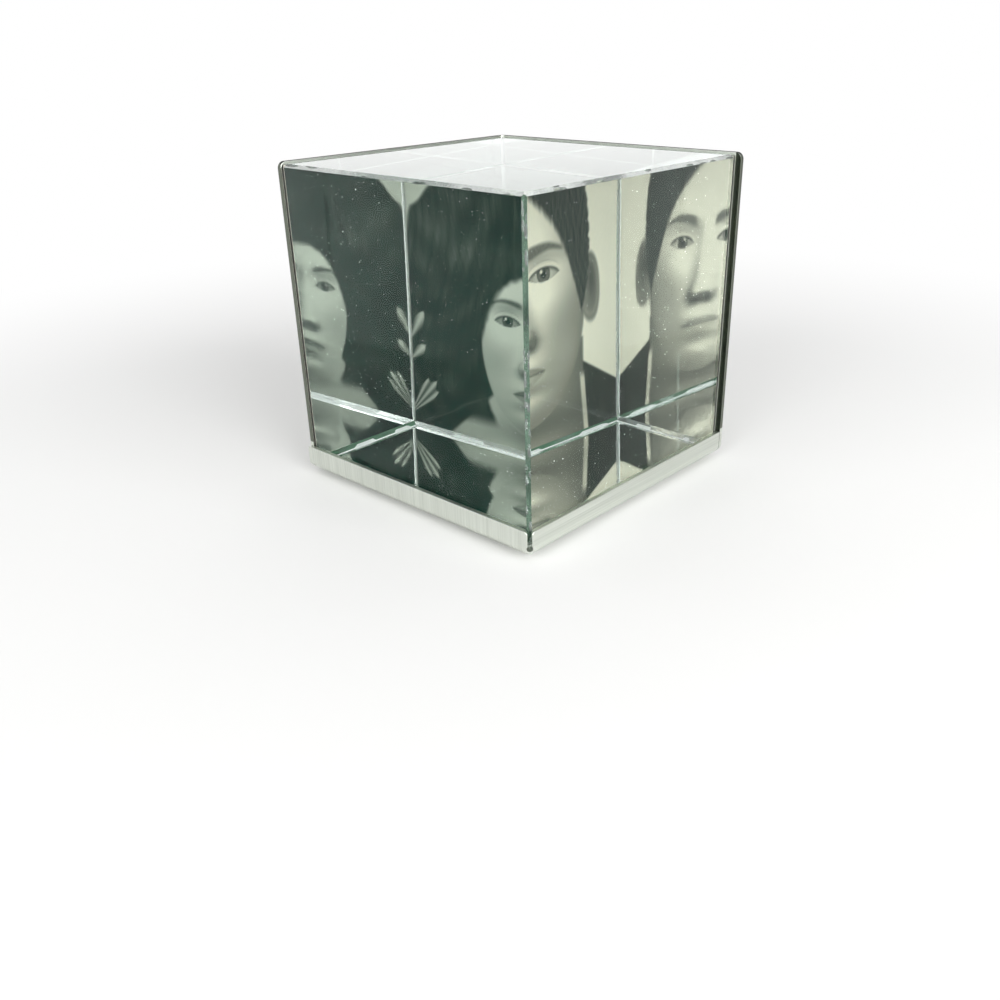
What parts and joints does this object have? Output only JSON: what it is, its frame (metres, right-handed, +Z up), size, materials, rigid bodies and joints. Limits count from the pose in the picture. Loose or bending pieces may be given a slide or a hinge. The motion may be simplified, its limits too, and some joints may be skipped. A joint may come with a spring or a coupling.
{
  "type": "rotating photo cube",
  "caption": "Clear glass cube in a folded steel tray that holds a photo behind the glass on each closed side, and turns on a thin round foot.",
  "frame": {"origin": "centre of the resting face, on the axis of the rivet that the tray turns on", "axes": "+Z up; the low lips are at -Y (front) and +X (right), and the full walls at -X (left) and +Y (rear)"},
  "size_m": [0.0794, 0.0794, 0.0794],
  "materials": {
    "tray_steel": "brushed along one direction, cut edges rubbed smooth",
    "block_glass": "polished, green tint, ground and chipped edges",
    "photo_paper": "black and white photographic print, satin",
    "backing_card": "thin black card",
    "liner_felt": "thin white pressed felt",
    "foot_felt": "thin pressed felt",
    "foot_steel": "fine turned",
    "glide_plastic": "smooth",
    "rivet_steel": "plain"
  },
  "bodies": {
    "foot": {"foot_felt": "foot_felt", "foot_disc": "foot_steel", "glide_disc": "glide_plastic", "pivot_rivet": "rivet_steel"},
    "cube": {"tray": "tray_steel", "base_liner": "liner_felt"},
    "glass": {"glass_block": "block_glass"},
    "left_photo": {"left_wall_print": "photo_paper", "left_wall_card": "backing_card"},
    "rear_photo": {"rear_wall_print": "photo_paper", "rear_wall_card": "backing_card"}
  },
  "joints": [
    {"name": "cube_spin", "type": "hinge", "parent": "foot", "child": "cube", "pos_m": [0, 0, 0.0015], "axis": [0, 0, 1], "continuous": true},
    {"name": "glass_lift", "type": "slide", "parent": "cube", "child": "glass", "axis": [0, 0, 1], "range_m": [0, 0.08]},
    {"name": "left_photo_lift", "type": "slide", "parent": "cube", "child": "left_photo", "axis": [0, 0, 1], "range_m": [0, 0.08]},
    {"name": "rear_photo_lift", "type": "slide", "parent": "cube", "child": "rear_photo", "axis": [0, 0, 1], "range_m": [0, 0.08]}
  ]
}
